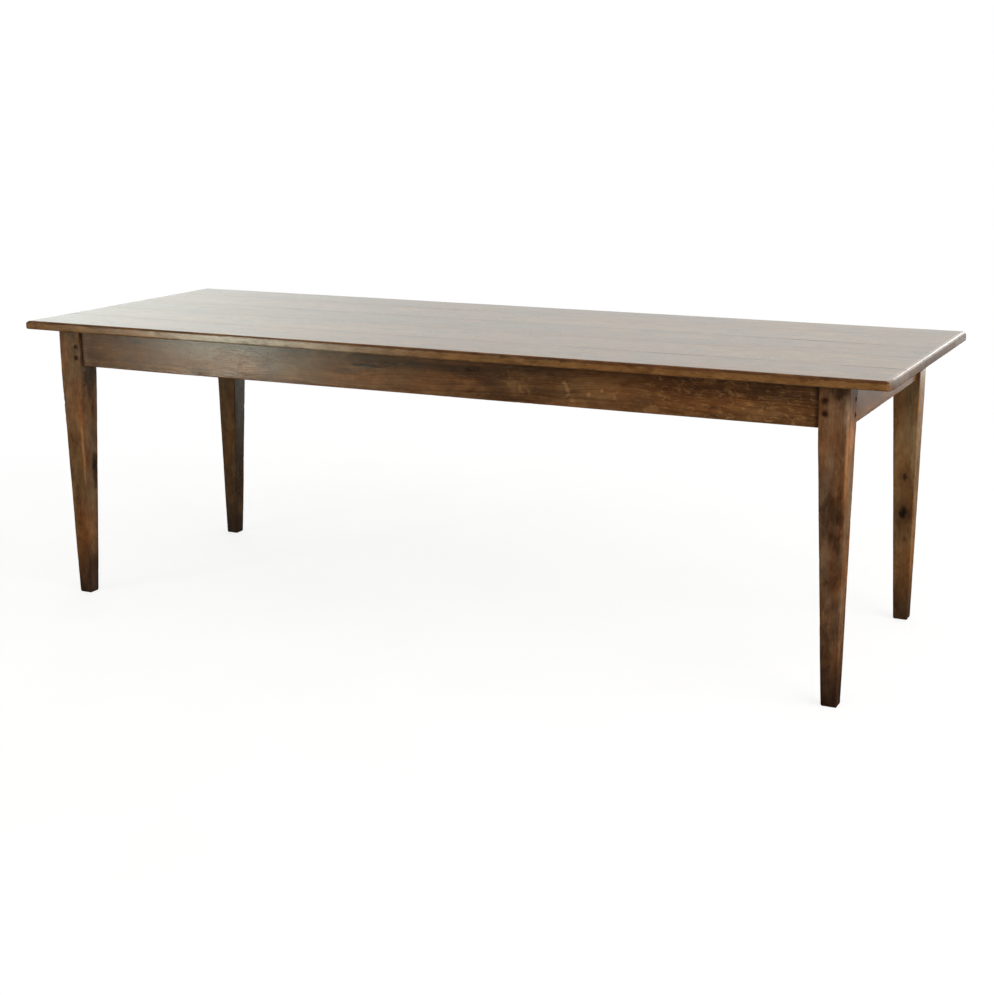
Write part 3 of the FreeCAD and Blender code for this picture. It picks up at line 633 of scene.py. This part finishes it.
# painted shade: each apron is darkened over its last few millimetres where it meets a leg, for the shadow at the leg's
# set-back corner
SHOULDER_SHADE = (0.45, 0.36, 0.34)
apron(
    "apron_front", "front_apron", "X", LEG_IN_X, -LONG_FACE, -LONG_BACK,
    oak("oak_apron_front", "X", (-0.52, 0.62), 5.0, tone=-0.035, tint=(1.0, 0.92, 0.84), **APRON_LOOK, fleck=0.56, fleck_span=(0.52, 0.70), raw=("y", -0.3685, -0.3672),
        # painted shade: this apron darkens towards its top, under the overhang of the top
        shade=((0.690, 0.748, -0.06, "z"),),
        loops=((0.411, 0.701, 0.023, 0.014, 0.0068, 0.72), (0.306, 0.700, 0.020, -0.010, 0.0060, 0.46), (0.312, 0.688, 0.010, 0.010, 0.0055, 0.46),
               (0.553, 0.694, 0.014, -0.008, 0.0055, 0.44), (0.262, 0.712, 0.030, 0.006, 0.0040, 0.28)),
        darks=((-0.150, -0.392, 0.7215, 0.030, 0.0042, 0.55), (-0.112, -0.392, 0.7205, 0.024, 0.0040, 0.5), (-0.19, -0.392, 0.700, 0.07, 0.010, 0.14),
               (0.20, -0.392, 0.715, 0.11, 0.022, 0.16), (0.05, -0.392, 0.730, 0.16, 0.014, 0.14), (-1.02, -0.392, 0.70, 0.05, 0.08, 0.08), (0.10, -0.392, 0.690, 0.10, 0.012, 0.10), (0.20, -0.392, 0.672, 0.09, 0.016, 0.14),
               (0.37, -0.392, 0.700, 0.10, 0.040, 0.08), (0.80, -0.392, 0.722, 0.18, 0.016, 0.09), (1.00, -0.392, 0.708, 0.10, 0.030, 0.08), (0.40, -0.392, 0.722, 0.05, 0.014, 0.13), (0.60, -0.392, 0.722, 0.08, 0.012, 0.05),
               # the dark strip at z 0.752 on the next line is painted shade under the top's overhang
               (-0.60, -0.392, 0.667, 0.10, 0.014, 0.09), (-0.52, -0.392, 0.752, 0.42, 0.013, 0.13)),
        pales=((-0.80, -0.392, 0.672, 0.14, 0.012, 0.06), (-0.20, -0.392, 0.692, 0.10, 0.014, 0.11), (-0.02, -0.392, 0.694, 0.12, 0.014, 0.05), (0.80, -0.392, 0.680, 0.14, 0.022, 0.07), (0.0, -0.392, 0.680, 0.12, 0.016, 0.05), (0.10, -0.392, 0.746, 0.22, 0.012, 0.08),
               (0.477, -0.392, 0.691, 0.0085, 0.0080, 0.24), (0.511, -0.392, 0.703, 0.0060, 0.0055, 0.26), (0.434, -0.392, 0.675, 0.0105, 0.0065, 0.20)),
        bands=((1.020, 1.030, 0.95, "x", SHOULDER_SHADE), (-1.020, -1.030, 0.85, "x", SHOULDER_SHADE))), 200)
apron(
    "apron_rear", "rear_apron", "X", LEG_IN_X, LONG_FACE, LONG_BACK,
    oak("oak_apron_rear", "X", (0.48, 0.55), 13.0, tone=-0.02, tint=(1.0, 0.94, 0.87), **APRON_LOOK, fleck=0.45, raw=("y", 0.3685, 0.3672),
        bands=((1.020, 1.030, 0.9, "x", SHOULDER_SHADE), (-1.020, -1.030, 0.9, "x", SHOULDER_SHADE))), 220)
apron(
    "apron_right", "right_apron", "Y", LEG_IN_Y, END_FACE, END_BACK,
    oak("oak_apron_right", "Y", (0.95, 0.60), 21.0, tone=-0.02, tint=(1.0, 0.96, 0.92), **dict(APRON_LOOK, pits=0.3), fleck=0.22, raw=("x", 1.0725, 1.0712),
        bands=((0.316, 0.326, 0.9, "y", SHOULDER_SHADE), (-0.316, -0.326, 0.9, "y", SHOULDER_SHADE))), 240)
apron(
    "apron_left", "left_apron", "Y", LEG_IN_Y, -END_FACE, -END_BACK,
    oak("oak_apron_left", "Y", (-0.95, 0.62), 29.0, tone=-0.03, tint=(1.0, 0.96, 0.92), **dict(APRON_LOOK, pits=0.3), fleck=0.22, raw=("x", -1.0725, -1.0712),
        bands=((0.316, 0.326, 0.9, "y", SHOULDER_SHADE), (-0.316, -0.326, 0.9, "y", SHOULDER_SHADE))), 260)


# ------------------------------------------------------------------ tapered legs
def leg(name, node, sx, sy, seed, mat, rub=0.0):
    zone = (0, 0.5, 1.2, 2.0, 3.0, 4.2, 5.6, 7.4)
    half = LEG / 2
    cs = stops(0.0, LEG, 5.2, zone, zone)
    zs = stops(0.0, UNDER_Z, 4.4, (0, 0.6, 1.3, 2.2, 3.4, 4.8), (0, 1.0))
    v, f = grid_box(cs, cs, zs)
    gap = np.minimum(edge_gap(v, [(0, 0.0), (0, LEG), (1, 0.0), (1, LEG), (2, 0.0)]), 60.0)
    z = v[:, 2].copy()
    u0, w0 = v[:, 0].copy(), v[:, 1].copy()
    n = 0
    for fa, sa in ((0.0, -1), (LEG, 1)):
        for fb, sb in ((0.0, -1), (LEG, 1)):
            r = 4.2 + 0.9 * noise1(z / 90 + 3 * n, seed + n) + 0.6 * noise1(z / 23, seed + 10 + n) + 2.4 * step(120, 5, z) + 0.9 * step(500, 200, z)
            if n == 3:
                r = r + rub
            elif n > 0:
                # crisp where an apron butts against the leg
                r = r * (1 - 0.6 * step(630, 655, z))
            round_edge(v, 0, fa, sa, 1, fb, sb, np.clip(r, 1.4, 9.5))
            n += 1
    for ax in (0, 1):
        for fa, sa in ((0.0, -1), (LEG, 1)):
            round_edge(v, ax, fa, sa, 2, 0.0, -1, 6.0 + 1.1 * noise1((u0 + 2 * w0) / 17, seed + 20))
    # planed faces: slow hollows, never beyond the square stick
    for ax, other in ((0, w0), (1, u0)):
        me = v[:, ax]
        hi_side = step(half, LEG, me)
        lo_side = step(half, 0.0, me)
        h1 = 0.20 * (noise2(z / 120 + 4, other / 34, seed + 30 + ax) + 1) + 0.07 * (noise2(z / 34, other / 17, seed + 32 + ax) + 1)
        h2 = 0.20 * (noise2(z / 130 + 8, other / 34, seed + 34 + ax) + 1) + 0.07 * (noise2(z / 37, other / 17, seed + 36 + ax) + 1)
        v[:, ax] = me - hi_side * h1 + lo_side * h2
    rng = np.random.default_rng(seed)
    for q in range(16):
        ca, cb = rng.choice((0.0, LEG), 2)
        zc = rng.uniform(5, 620)
        spot = [(ca, cb, zc, rng.uniform(3.5, 9.0), rng.uniform(0.6, 1.6))]
        dents(v, spot, (half - ca, half - cb, 0))
    soft = 12.0
    k = soft * np.log1p(np.exp((KNEE_Z - z) / soft)) / KNEE_Z
    k = np.where(z > KNEE_Z + 110, 0.0, k)
    xi, xo = LEG_IN_X + TAPER_X_IN * k, LEG_OUT_X - TAPER_X_OUT * k
    yi, yo = LEG_IN_Y + TAPER_Y_IN * k, LEG_OUT_Y - TAPER_Y_OUT * k
    gap = gap * np.minimum(xo - xi, yo - yi) / LEG
    v[:, 0], v[:, 1] = sx * (xi + v[:, 0] / LEG * (xo - xi)), sy * (yi + v[:, 1] / LEG * (yo - yi))
    if sx * sy < 0:
        f = f[:, ::-1]
    return make(name, v, f, "frame_oak", mat, [node], edge=gap)


def around_pegs(corner, sx, sy, weight):
    """Grime gathered round the peg heads of one leg."""
    long = tuple((sx * LONG_PEG_X / 1000, sy * LEG_OUT_Y / 1000, pz / 1000, 0.0115, 0.0095, weight) for pz in LONG_PEG_Z[corner])
    return long + tuple((sx * LEG_OUT_X / 1000, sy * END_PEG_Y / 1000, pz / 1000, 0.0115, 0.0095, weight) for pz in END_PEG_Z)


LEG_LOOK = dict(contrast=0.74, blotch=1.3, streak=0.13, grain=0.18, ringy=0.3, mottle=0.38, hue=1.8, hue_size=2.6, worn=0.12, worn_dark=0.22, rough=0.22, rough_var=0.3, bump=0.00012, checks=0.4, fleck=0.15)
# painted light and shade on this leg: the dark patch at z 0.62 on the inner face is the apron's shadow, and the faces
# entries make the front face darker, more so lower down, and paint a cool sheen on the inner face
leg("leg_fl", "leg_front_left", -1, -1, 300, oak(
    "oak_leg_fl", "Z", (-1.02, -0.30), 7.0, tone=0.01, tint=(1.0, 0.95, 0.98), patina=0.35, foot=1.0, specular=0.3, **LEG_LOOK,
    knots=((-1.064, -0.393, 0.182, 0.0052, 0.9),),
    darks=around_pegs("front_left", -1, -1, 0.24) + ((-1.047, -0.353, 0.362, 0.060, 0.017, 0.44), (-1.040, -0.365, 0.62, 0.10, 0.03, 0.20), (-1.075, -0.385, 0.14, 0.09, 0.03, 0.06)),
    pales=((-1.049, -0.396, 0.36, 0.20, 0.007, 0.34), (-1.052, -0.401, 0.7165, 0.010, 0.0095, 0.16), (-1.052, -0.370, 0.15, 0.07, 0.02, 0.17), (-1.056, -0.368, 0.04, 0.05, 0.02, 0.16)),
    faces=(((0, -1, 0), -0.025, (1, 1, 1), (0.0, 0.02)), ((0, -1, 0), -0.04, (1, 1, 1), (0.46, 0.10)), ((1, 0, 0), -0.02, (0.97, 1.14, 1.34), (0.00, 0.05)))))
# painted light and shade on this leg: on its +x face the dark patch at z 0.73 is the top's shadow and the pale patch at
# z 0.64 a painted lit spot; the pale line on the front-right arris is worn wood and partly a painted highlight; the
# faces entries make the front face darker lower down, and the +x face lighter below z 0.6 and darker and cooler lower
# down
leg("leg_fr", "leg_front_right", 1, -1, 340, oak(
    "oak_leg_fr", "Z", (1.13, -0.28), 15.0, tone=0.03, tint=(0.93, 1.00, 1.36), patina=0.75, patina_span=(0.08, 0.22, 0.50, 0.62), foot=0.95, specular=0.07, **LEG_LOOK,
    darks=around_pegs("front_right", 1, -1, 0.24) + ((1.080, -0.401, 0.744, 0.016, 0.016, 0.26), (1.088, -0.390, 0.40, 0.22, 0.016, 0.10), (1.070, -0.393, 0.45, 0.07, 0.030, 0.20), (1.105, -0.366, 0.730, 0.03, 0.05, 0.14)),
    pales=((1.1035, -0.3985, 0.58, 0.13, 0.006, 0.34), (1.1005, -0.3995, 0.690, 0.055, 0.0075, 0.17), (1.060, -0.400, 0.64, 0.08, 0.026, 0.05), (1.105, -0.372, 0.64, 0.05, 0.03, 0.26), (1.075, -0.394, 0.34, 0.05, 0.02, 0.05)),
    faces=(((0, -1, 0), -0.12, (1, 1, 1), (0.40, 0.14)), ((1, 0, 0), 0.08, (1.08, 1.03, 0.92), (0.70, 0.60)), ((1, 0, 0), -0.12, (0.93, 1.06, 1.14), (0.46, 0.16)))), rub=3.2)
# painted light on this leg: the faces entry makes its +x face lighter and warmer
leg("leg_br", "leg_rear_right", 1, 1, 380, oak(
    "oak_leg_br", "Z", (1.00, 0.52), 23.0, tone=0.03, tint=(1.0, 1.13, 1.26), patina=0.35, foot=0.75, specular=0.24, **LEG_LOOK,
    knots=((1.077, 0.337, 0.399, 0.0088, 0.80), (1.077, 0.339, 0.300, 0.0150, 1.0), (1.086, 0.341, 0.225, 0.0045, 0.5)),
    darks=around_pegs("rear_right", 1, 1, 0.14) + ((1.077, 0.337, 0.345, 0.05, 0.03, 0.05),),
    pales=((1.098, 0.335, 0.50, 0.14, 0.010, 0.18), (1.060, 0.338, 0.35, 0.05, 0.012, 0.10), (1.074, 0.334, 0.49, 0.11, 0.040, 0.22), (1.077, 0.336, 0.14, 0.05, 0.03, 0.07)),
    faces=(((1, 0, 0), 0.19, (1.05, 0.96, 0.88), (0.00, 0.12)),)))
# painted shade on this leg: its whole tone is set darker than the other legs for the shade it stands in under the
# table, and the faces entry makes its +x face darker and cooler above z 0.25, a painted shade with a painted cool sheen
leg("leg_bl", "leg_rear_left", -1, 1, 420, oak(
    "oak_leg_bl", "Z", (-1.16, 0.50), 31.0, tone=-0.12, tint=(1.03, 1.17, 1.33), patina=0.40, foot=1.0, specular=0.4, **dict(LEG_LOOK, contrast=0.55, mottle=0.24, hue=0.9),
    knots=((-1.040, 0.350, 0.545, 0.0060, 0.7),),
    darks=around_pegs("rear_left", -1, 1, 0.14) + ((-1.075, 0.350, 0.15, 0.07, 0.06, 0.10),),
    pales=((-1.070, 0.342, 0.33, 0.10, 0.05, 0.08),),
    faces=(((1, 0, 0), -0.20, (1.0, 1.10, 1.20), (0.05, 0.25)),)))


# ------------------------------------------------------------------ whittled pegs
def peg(place, out, seed, length=46.0, radius=4.95):
    """A riven square-ish peg driven into the leg, its head standing a little proud. out points out of the leg."""
    rng = np.random.default_rng(seed)
    n = 40
    th = np.linspace(0, 2 * math.pi, n, endpoint=False)
    turn = rng.uniform(-0.07, 0.07)
    power = rng.uniform(4.0, 6.0)
    c, s = np.cos(th), np.sin(th)
    sq = (np.abs(c) ** power + np.abs(s) ** power) ** (-1 / power)
    sq = sq * (1 + 0.018 * noise1(th * 4, seed + 1))
    proud = rng.uniform(0.45, 0.95)
    rows = [(-proud, 0.30), (-proud * 0.99, 0.58), (-proud * 0.90, 0.80), (-proud * 0.62, 0.92), (-proud * 0.2, 0.985), (0.8, 1.0), (10.0, 0.98), (25.0, 0.86), (38.0, 0.76), (length - 2.0, 0.70), (length - 0.3, 0.60), (length, 0.35)]
    out = np.array(out, float)
    up = np.array((0.0, 0.0, 1.0))
    across = np.cross(up, out)
    verts, faces = [], []
    tilt = rng.uniform(-0.10, 0.10, 2)
    for d, k in rows:
        r = radius * k * sq
        u = r * np.cos(th + turn)
        w = r * np.sin(th + turn)
        depth = d + (0.06 * noise1(th * 3 + d * 5, seed + 2) if d < 0.2 else 0) + (np.clip(-d, 0, 1)) * (tilt[0] * u + tilt[1] * w) * 0.25
        depth = np.maximum(depth, -0.98)
        verts.append(np.array(place) - depth[:, None] * out + u[:, None] * across + w[:, None] * up)
    m = len(rows)
    allv = np.concatenate(verts)
    for a in range(m - 1):
        for b in range(n):
            faces.append([a * n + b, a * n + (b + 1) % n, (a + 1) * n + (b + 1) % n, (a + 1) * n + b])
    c0 = allv[:n].mean(0) + out * 0.01
    c1 = allv[-n:].mean(0)
    allv = np.concatenate([allv, [c0], [c1]])
    for b in range(n):
        faces.append([len(allv) - 2, (b + 1) % n, b])
        faces.append([len(allv) - 1, (m - 1) * n + b, (m - 1) * n + (b + 1) % n])
    return allv, [list(reversed(q)) for q in faces]


def peg_wood(name, axis, pith, seed):
    return oak(name, axis, pith, seed, tone=-0.46, tint=(0.86, 0.74, 0.70), contrast=0.6, blotch=0.8, has_edge=False, rings=900.0, rough=0.5, bump=0.0003, specular=0.06, checks=0.5)


PEG_Y = peg_wood("oak_peg_cross", "Y", (0.3, 0.2), 41.0)
PEG_X = peg_wood("oak_peg_long", "X", (0.3, 0.2), 43.0)
for fy, front in ((-1, "front"), (1, "rear")):
    for fx, left in ((-1, "left"), (1, "right")):
        corner = "%s_%s" % (front, left)
        for way in ("long", "end"):
            vs, fs, total = [], [], 0
            for q in range(2):
                if way == "long":
                    place, out = (fx * LONG_PEG_X, fy * LEG_OUT_Y, LONG_PEG_Z[corner][q]), (0, fy, 0)
                else:
                    place, out = (fx * LEG_OUT_X, fy * END_PEG_Y, END_PEG_Z[q]), (fx, 0, 0)
                v, f = peg(place, out, 500 + 37 * (fy + 1) + 11 * (fx + 1) + 5 * q + (3 if way == "end" else 0))
                vs.append(v)
                fs += [[i + total for i in face] for face in f]
                total += len(v)
            make("pegs_%s_%s_head" % (corner, way), np.concatenate(vs), fs, "peg_oak", PEG_Y if way == "long" else PEG_X, ["pegs_%s_%s" % (corner, way)])


# ------------------------------------------------------------------ underside: bearers, buttons, tongues, screws
def dress(nodes, mat):
    for n in nodes:
        ob = NODES[n]
        ob.data.materials.clear()
        ob.data.materials.append(mat)


UNDER_LOOK = dict(has_edge=False, contrast=1.0, tone=0.06, tint=(1.0, 1.06, 1.12), rough=0.66, bump=0.0004, fleck=0.2, checks=0.5)
dress(["cross_bearer_left", "cross_bearer_middle", "cross_bearer_right"], oak("oak_bearer", "Y", (0.25, 0.35), 51.0, **UNDER_LOOK))
dress(["top_buttons_front", "top_buttons_rear"], oak("oak_button_long", "Y", (0.2, 0.4), 53.0, **UNDER_LOOK))
dress(["top_buttons_left", "top_buttons_right"], oak("oak_button_end", "X", (0.2, 0.4), 55.0, **UNDER_LOOK))
dress(["top_tongue_%d" % k for k in (1, 2, 3, 4)], oak("oak_tongue", "X", (0.3, 0.2), 57.0, **UNDER_LOOK))
dress(["button_screws", "bearer_screws"], steel("screw_steel_old"))


# ------------------------------------------------------------------ floor, light, camera
def card(name, centre, width, height, facing, strength, colour=(1, 1, 1), far_colour=None, across_fade=(1.0, 1.0), up_fade=(1.0, 1.0), across_zone=(0.0, 1.0), up_zone=(0.0, 1.0), lights=True, mirrors=True):
    """A glowing panel. facing points out of it; the fades scale its glow from side to side and from low to high, and its colour may change across it."""
    n = Vector(facing).normalized()
    across = Vector((0, 0, 1)).cross(n)
    across = Vector((1, 0, 0)) if across.length < 1e-6 else across.normalized()
    up = n.cross(across)
    c = Vector(centre)
    pts = [c + across * (i * width / 2) + up * (j * height / 2) for i, j in ((-1, -1), (1, -1), (1, 1), (-1, 1))]
    me = bpy.data.meshes.new(name)
    me.from_pydata([tuple(p) for p in pts], [], [(0, 1, 2, 3)])
    uv = me.uv_layers.new(name="UVMap")
    for i, c2 in enumerate(((0, 0), (1, 0), (1, 1), (0, 1))):
        uv.data[i].uv = c2
    s = Shade(name)
    e = s.add("ShaderNodeEmission")
    e.inputs["Color"].default_value = (*colour, 1.0)
    e.inputs["Strength"].default_value = strength
    if across_fade != (1.0, 1.0) or up_fade != (1.0, 1.0):
        u, w, _ = s.xyz(s.add("ShaderNodeTexCoord").outputs["UV"])
        s.put(e.inputs["Strength"], s.times(s.smooth(u, *across_zone, *across_fade), s.smooth(w, *up_zone, *up_fade), strength))
        if far_colour:
            s.put(e.inputs["Color"], s.mix(s.smooth(u, *across_zone), colour, far_colour))
    s.t.links.new(e.outputs[0], s.out.inputs[0])
    me.materials.append(s.m)
    ob = bpy.data.objects.new(name, me)
    bpy.context.scene.collection.objects.link(ob)
    ob.visible_camera = False
    ob.visible_shadow = False
    ob.visible_diffuse = lights
    ob.visible_glossy = mirrors
    return ob


card("card_back", (-0.8, 3.6, 1.56), 12.4, 2.88, (0, -1, 0), 1.13, (0.925, 1.0, 0.960), (0.968, 1.0, 0.968), across_fade=(2.18, 1.18), across_zone=(0.12, 0.43), up_fade=(1.10, 1.05), up_zone=(0.0, 0.75))
card("card_back_low", (-0.8, 3.6, -0.09), 12.4, 0.42, (0, -1, 0), 0.42, (1.0, 1.0, 0.97), up_fade=(0.2, 1.0))
card("card_low_glint", (0.92, 3.55, -0.42), 0.6, 0.68, (0, -1, 0), 1.7, (0.80, 1.0, 0.98), up_fade=(0.0, 1.0), up_zone=(0.0, 0.5), lights=False)
card("card_glint", (1.26, 3.5, 1.64), 0.50, 0.60, (0, -1, 0), 4.6, (1.0, 1.0, 0.99), lights=False)
card("card_right", (4.4, -1.0, 1.75), 4.6, 2.7, (-1, 0.22, -0.2), 4.4, (1.0, 0.97, 0.93), mirrors=False)
card("card_right_soft", (4.4, -1.0, 1.75), 6.4, 2.9, (-1, 0.22, -0.2), 0.95, (1.0, 0.98, 0.95), up_fade=(1.0, 0.45), lights=False)
card("card_window", (-2.99, -3.9, 1.2), 0.44, 2.4, (0.64, 0.77, 0), 16.8, (0.97, 0.98, 0.80))
card("card_window_side", (-2.15, -4.1, 1.2), 1.1, 2.4, (0.40, 0.92, 0), 0.65, (0.90, 1.0, 0.72), across_fade=(0.1, 1.0), lights=False)
card("card_front_high", (0.6, -4.6, 4.4), 8.0, 3.2, (0, 0.76, -0.65), 1.7, (1.0, 0.98, 0.95), mirrors=False)
card("card_front_low", (1.5, -7.0, 1.2), 7.0, 2.4, (0, 1, 0), 0.7, (1.0, 0.98, 0.95), mirrors=False)
card("card_bounce", (0.0, 0.0, -0.3), 10.0, 8.0, (0, 0, 1), 0.30, (1.0, 0.96, 0.90), mirrors=False)
card("card_ceiling", (0.0, 0.0, 4.5), 8.0, 7.0, (0, 0, -1), 0.55, (1.0, 0.99, 0.97), mirrors=False)

world = bpy.data.worlds.new("room")
bpy.context.scene.world = world
world.use_nodes = True
wt = world.node_tree
wt.nodes.clear()
w_out = wt.nodes.new("ShaderNodeOutputWorld")
w_pick = wt.nodes.new("ShaderNodeMixShader")
w_path = wt.nodes.new("ShaderNodeLightPath")
w_room = wt.nodes.new("ShaderNodeBackground")
w_pale = wt.nodes.new("ShaderNodeBackground")
w_co = wt.nodes.new("ShaderNodeTexCoord")
w_sep = wt.nodes.new("ShaderNodeSeparateXYZ")
w_ramp = wt.nodes.new("ShaderNodeValToRGB")
w_map = wt.nodes.new("ShaderNodeMapRange")
w_pale.inputs["Color"].default_value = (1.0, 1.0, 1.0, 1.0)
w_pale.inputs["Strength"].default_value = 1.0
wt.links.new(w_co.outputs["Generated"], w_sep.inputs[0])
wt.links.new(w_sep.outputs[2], w_map.inputs["Value"])
w_map.inputs["From Min"].default_value = -1.0
w_map.inputs["From Max"].default_value = 1.0
wt.links.new(w_map.outputs[0], w_ramp.inputs[0])
e = w_ramp.color_ramp.elements
e[0].position, e[0].color = 0.47, (0.050, 0.042, 0.034, 1)
e[1].position, e[1].color = 0.53, (0.110, 0.106, 0.100, 1)
wt.links.new(w_ramp.outputs[0], w_room.inputs["Color"])
wt.links.new(w_path.outputs["Is Camera Ray"], w_pick.inputs[0])
wt.links.new(w_room.outputs[0], w_pick.inputs[1])
wt.links.new(w_pale.outputs[0], w_pick.inputs[2])
wt.links.new(w_pick.outputs[0], w_out.inputs[0])

me = bpy.data.meshes.new("floor")
me.from_pydata([(-40, -40, 0), (40, -40, 0), (40, 40, 0), (-40, 40, 0)], [], [(0, 1, 2, 3)])
floor = bpy.data.objects.new("floor", me)
bpy.context.scene.collection.objects.link(floor)
s = Shade("pale_floor")
co = s.add("ShaderNodeTexCoord").outputs["Object"]
mottle = s.noise(co, (3.0, 3.0, 3.0), 3.0)
b = s.add("ShaderNodeBsdfPrincipled")
s.put(b.inputs["Base Color"], s.ramp(mottle, ((0.3, (0.25, 0.25, 0.25)), (0.7, (0.27, 0.27, 0.27)))))
b.inputs["Roughness"].default_value = 0.9
b.inputs["Specular IOR Level"].default_value = 0.1
b.inputs["Emission Color"].default_value = (1.0, 1.0, 1.0, 1.0)
b.inputs["Emission Strength"].default_value = 0.78
far = s.add("ShaderNodeEmission")
far.inputs["Color"].default_value = (1.0, 1.0, 1.0, 1.0)
far.inputs["Strength"].default_value = 1.0
blend = s.add("ShaderNodeMixShader")
s.put(blend.inputs[0], s.smooth(s.vec("LENGTH", co), 1.6, 3.5))
s.t.links.new(b.outputs[0], blend.inputs[1])
s.t.links.new(far.outputs[0], blend.inputs[2])
s.t.links.new(blend.outputs[0], s.out.inputs[0])
me.materials.append(s.m)
floor.visible_glossy = False
floor.visible_diffuse = False
floor.visible_shadow = False

YAW, PITCH, ROLL = (math.radians(d) for d in (25.925558460, 13.711167160, -0.252706997))
right = Vector((math.cos(YAW), math.sin(YAW), 0.0))
ahead = Vector((-math.sin(YAW) * math.cos(PITCH), math.cos(YAW) * math.cos(PITCH), -math.sin(PITCH)))
up = right.cross(ahead)
right2 = right * math.cos(ROLL) + up * math.sin(ROLL)
up2 = up * math.cos(ROLL) - right * math.sin(ROLL)
lens = bpy.data.cameras.new("camera")
lens.sensor_fit = "AUTO"
lens.sensor_width = 36.0
lens.lens = 1683.364809176 * 36.0 / 995.0
lens.clip_end = 200.0
camera = bpy.data.objects.new("camera", lens)
bpy.context.scene.collection.objects.link(camera)
m = Matrix((right2, up2, -ahead)).transposed().to_4x4()
m.translation = Vector((2.002298034, -4.029706135, 1.402750195))
camera.matrix_world = m
bpy.context.scene.camera = camera

view = bpy.context.scene.view_settings
view.view_transform = "Standard"
view.look = "None"
view.exposure = 0.0
view.gamma = 1.0
